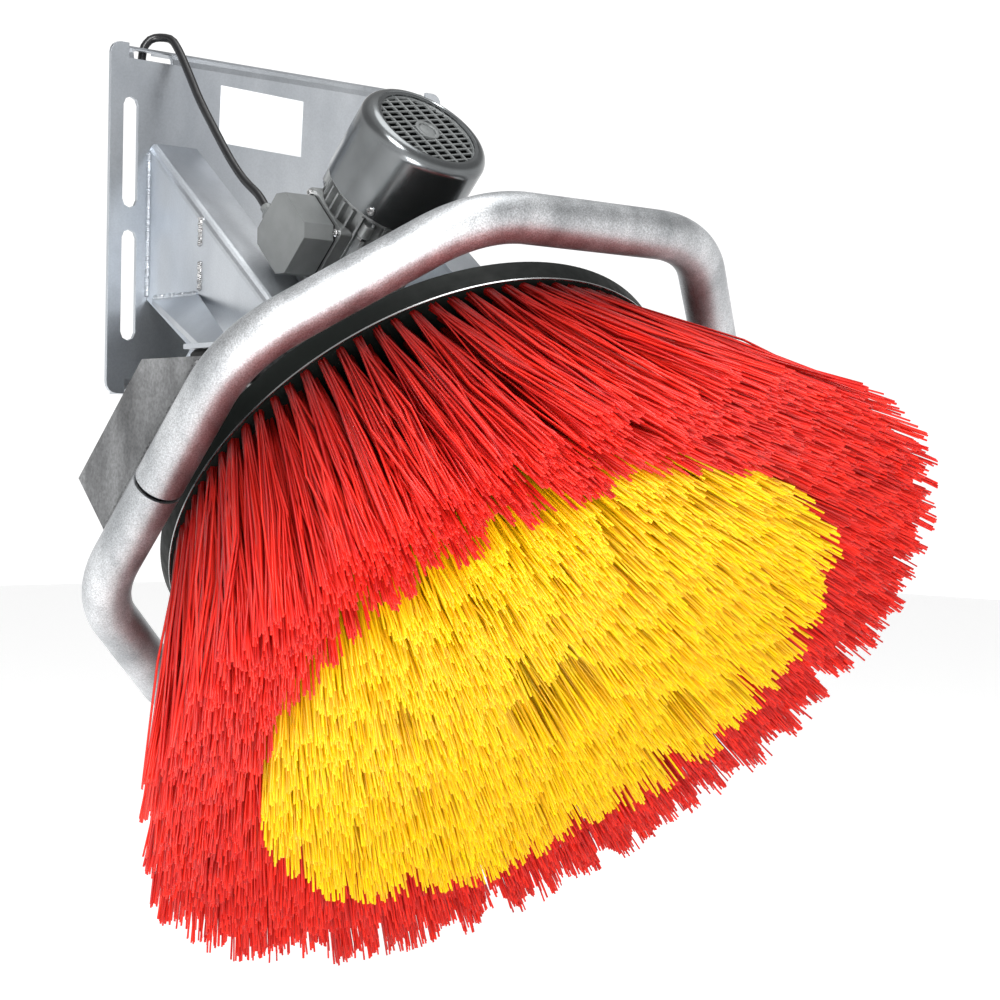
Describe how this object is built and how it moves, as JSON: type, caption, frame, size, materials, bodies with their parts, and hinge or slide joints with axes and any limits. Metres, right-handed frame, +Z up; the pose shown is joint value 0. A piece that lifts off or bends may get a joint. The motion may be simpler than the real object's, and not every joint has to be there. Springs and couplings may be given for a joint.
{
  "type": "rotating cow brush",
  "caption": "Motor-driven cone of red and yellow bristles under a wall bracket, tilted at 45 degrees inside a bent tube guard ring, for cows to scratch on.",
  "frame": {"origin": "middle of the wall plate, on the wall plane that its folded flanges rest on", "axes": "+X to the right as seen from the room, +Y into the wall, +Z up; the bracket and brush reach towards -Y"},
  "size_m": [0.864, 0.8043, 0.9902],
  "materials": {
    "galvanised_sheet": "hot-dip galvanised, spangled",
    "galvanised_tube": "hot-dip galvanised, bright",
    "dull_zinc": "hot-dip galvanised, dull and mottled",
    "cast_aluminium": "cast and painted grey",
    "steel_cover": "smooth, dark",
    "bright_steel": "machined",
    "bronze": "machined bronze",
    "copper_winding": "lacquered windings on laminated steel",
    "black_rubber": "moulded, matt",
    "black_plastic": "moulded, satin",
    "grey_plastic": "moulded, satin",
    "lead_jacket": "smooth, satin",
    "red_bristle": "extruded nylon bristle",
    "yellow_bristle": "extruded nylon bristle"
  },
  "bodies": {
    "bracket": {"wall_plate": "galvanised_sheet", "left_arm": "galvanised_sheet", "right_arm": "galvanised_sheet", "left_outrigger": "galvanised_sheet", "right_outrigger": "galvanised_sheet", "left_buffer": "black_rubber", "right_buffer": "black_rubber", "left_buffer_bolt": "bright_steel", "right_buffer_bolt": "bright_steel", "ring_beam": "dull_zinc", "left_cheek": "dull_zinc", "right_cheek": "dull_zinc", "guard_ring_upper": "galvanised_tube", "guard_ring_lower": "galvanised_tube", "gearbox_cradle": "galvanised_sheet", "gear_housing": "cast_aluminium", "gear_cover": "cast_aluminium", "output_seal": "black_rubber", "output_bearing_lower": "bright_steel", "output_bearing_upper": "bright_steel", "worm_bearing_far": "bright_steel", "worm_bearing_input": "bright_steel", "worm_end_cap": "black_plastic", "gearbox_bolt_1": "bright_steel", "gearbox_bolt_2": "bright_steel", "gearbox_bolt_3": "bright_steel", "gearbox_bolt_4": "bright_steel", "motor_flange": "cast_aluminium", "motor_housing": "cast_aluminium", "stator_core": "copper_winding", "motor_bearing_drive": "bright_steel", "motor_bearing_fan": "bright_steel", "fan_end_shield": "cast_aluminium", "fan_cover": "steel_cover", "fan_grille": "grey_plastic", "terminal_base": "cast_aluminium", "terminal_gasket": "black_rubber", "terminal_lid": "grey_plastic", "terminal_block": "black_plastic", "cable_gland": "grey_plastic", "mains_cable": "lead_jacket", "cable_coil": "lead_jacket", "cable_tie": "black_plastic", "cable_end": "lead_jacket"},
    "brush": {"output_shaft": "bright_steel", "worm_wheel": "bronze", "shaft_key": "bright_steel", "hub_flange": "bright_steel", "brush_disc": "black_plastic", "hub_bolt_1": "bright_steel", "hub_bolt_2": "bright_steel", "hub_bolt_3": "bright_steel", "hub_bolt_4": "bright_steel", "shaft_end_bolt": "bright_steel", "outer_bristles": "red_bristle", "inner_bristles": "yellow_bristle"},
    "rotor": {"worm_shaft": "bright_steel", "motor_shaft": "bright_steel", "rotor_core": "cast_aluminium", "motor_fan": "black_plastic"}
  },
  "joints": [
    {"name": "brush_spin", "type": "hinge", "parent": "bracket", "child": "brush", "pos_m": [0, -0.28, -0.263], "axis": [0, -0.7071, -0.7071], "continuous": true},
    {"name": "rotor_spin", "type": "hinge", "parent": "bracket", "child": "rotor", "pos_m": [-0.05, -0.14211, -0.12511], "axis": [0, -0.7071, 0.7071], "continuous": true}
  ],
  "couplings": [
    {"joint": "rotor_spin", "follows": "brush_spin", "ratio": 40}
  ]
}
